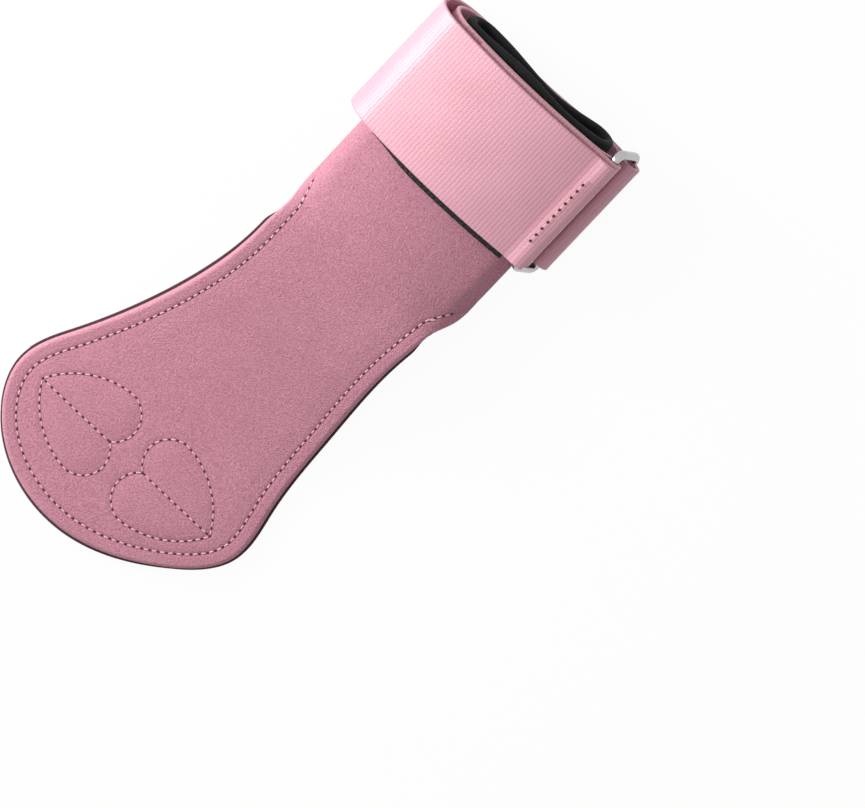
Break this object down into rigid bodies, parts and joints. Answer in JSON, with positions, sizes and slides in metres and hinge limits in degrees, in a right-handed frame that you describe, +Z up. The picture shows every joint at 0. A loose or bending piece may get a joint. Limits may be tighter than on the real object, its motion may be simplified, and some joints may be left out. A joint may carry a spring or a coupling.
{
  "type": "wrist support brace",
  "caption": "Leather palm pad hinged to a padded wrist cuff, closed by a doubled webbing strap through a steel ring with a hook-and-loop flap.",
  "frame": {"origin": "middle of the brace's box in X and Y, at the height of the table that it lies on", "axes": "+Y along the hand from the palm pad's tip towards the cuff's wrist opening, +X across the hand towards the ring, +Z up from the table, with the leather side up"},
  "size_m": [0.1142, 0.2476, 0.0313],
  "materials": {
    "suede": "napped suede",
    "lining": "dark split leather",
    "foam": "closed-cell foam",
    "neoprene": "black knitted face on foam",
    "webbing": "woven pink webbing",
    "loop_tape": "brushed loop pile",
    "hook_tape": "moulded hooks on woven tape",
    "steel": "polished plating"
  },
  "bodies": {
    "cuff": {"neck_leather": "suede", "cuff_leather": "suede", "cuff_neoprene": "neoprene", "base_strap": "webbing", "tail_strap_back": "webbing", "ring_tab": "webbing", "loop_tape": "loop_tape"},
    "palm": {"palm_leather": "suede", "palm_core": "foam", "palm_pad_left": "foam", "palm_pad_right": "foam", "palm_lining": "lining"},
    "strap_flap": {"tail_strap": "webbing", "hook_tape": "hook_tape"},
    "ring": {"ring": "steel"}
  },
  "joints": [
    {"name": "palm_flex", "type": "hinge", "parent": "cuff", "child": "palm", "pos_m": [0.01036, 0.02764, 0.02201], "axis": [-1, 0, 0], "range_deg": [-30, 60], "stiffness_Nm_per_rad": 0.25},
    {"name": "strap_peel", "type": "hinge", "parent": "cuff", "child": "strap_flap", "pos_m": [-0.02064, 0.09384, 0.02793], "axis": [0, -1, 0], "range_deg": [0, 160]},
    {"name": "ring_swivel", "type": "hinge", "parent": "cuff", "child": "ring", "pos_m": [0.04818, 0.09384, 0.01994], "axis": [0, 1, 0], "range_deg": [-2.5, 2.5]}
  ]
}
